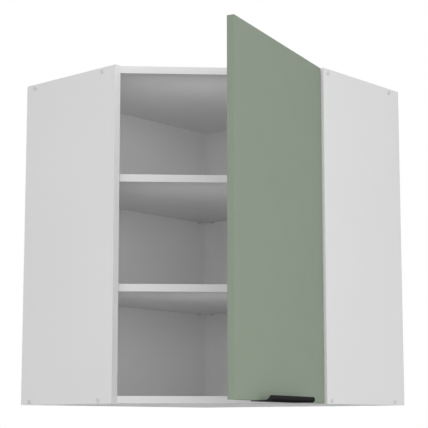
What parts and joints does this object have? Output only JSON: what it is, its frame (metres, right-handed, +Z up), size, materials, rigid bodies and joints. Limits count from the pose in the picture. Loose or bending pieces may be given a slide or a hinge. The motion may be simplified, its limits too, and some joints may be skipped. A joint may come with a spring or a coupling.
{
  "type": "corner wall cabinet",
  "caption": "Corner wall cabinet with a diagonal opening, shelves, a grooved hardboard back, wall hooks, and a hinged green door with a black edge pull on its lower edge.",
  "frame": {"origin": "where the two walls of the room's corner meet, at the cabinet's lowest level", "axes": "+Z up; the walls are the planes x = 0 and y = 0, +X runs along the right wall and -Y along the left wall, as seen from the room"},
  "size_m": [0.7065, 0.7017, 0.716],
  "materials": {
    "white_board": "white melamine-faced chipboard, fine satin texture",
    "white_hardboard": "hardboard, white inside and brown behind",
    "batten": "strip of the same white-faced chipboard, its cut edges raw",
    "dowel_wood": "beech",
    "green_door": "matt sage green foil on fibreboard",
    "black_pull": "black anodised, satin",
    "black_screw": "black",
    "clear_rubber": "soft, milky",
    "white_cap": "satin",
    "white_plastic": "moulded, fine texture",
    "zinc_steel": "zinc plated",
    "nickel_steel": "nickel plated"
  },
  "bodies": {
    "carcass": {"left_side_panel": "white_board", "right_side_panel": "white_board", "top_panel": "white_board", "bottom_panel": "white_board", "upper_shelf": "white_board", "lower_shelf": "white_board", "left_back_panel": "white_hardboard", "right_back_panel": "white_hardboard", "left_corner_batten": "batten", "right_corner_batten": "batten", "left_side_screws": "zinc_steel", "right_side_screws": "zinc_steel", "left_screw_caps": "white_cap", "right_screw_caps": "white_cap", "board_dowels": "dowel_wood", "upper_shelf_pins": "white_plastic", "lower_shelf_pins": "white_plastic", "left_hanger_housing": "white_plastic", "right_hanger_housing": "white_plastic", "left_hanger_hook": "zinc_steel", "right_hanger_hook": "zinc_steel", "left_hanger_adjuster": "zinc_steel", "right_hanger_adjuster": "zinc_steel", "left_hanger_screws": "zinc_steel", "right_hanger_screws": "zinc_steel", "lower_hinge_arm": "nickel_steel", "lower_hinge_plate": "nickel_steel", "lower_hinge_plate_screws": "nickel_steel", "lower_hinge_arm_screws": "nickel_steel", "upper_hinge_arm": "nickel_steel", "upper_hinge_plate": "nickel_steel", "upper_hinge_plate_screws": "nickel_steel", "upper_hinge_arm_screws": "nickel_steel"},
    "door": {"door_panel": "green_door", "door_pull": "black_pull", "door_pull_screws": "black_screw", "door_bumpers": "clear_rubber", "lower_hinge_cup": "nickel_steel", "lower_hinge_cup_screws": "nickel_steel", "lower_hinge_pin": "nickel_steel", "upper_hinge_cup": "nickel_steel", "upper_hinge_cup_screws": "nickel_steel", "upper_hinge_pin": "nickel_steel"}
  },
  "joints": [
    {"name": "door_swing", "type": "hinge", "parent": "carcass", "child": "door", "pos_m": [0.58725, -0.2973, 0.358], "axis": [0, 0, 1], "range_deg": [-60, 40]}
  ]
}
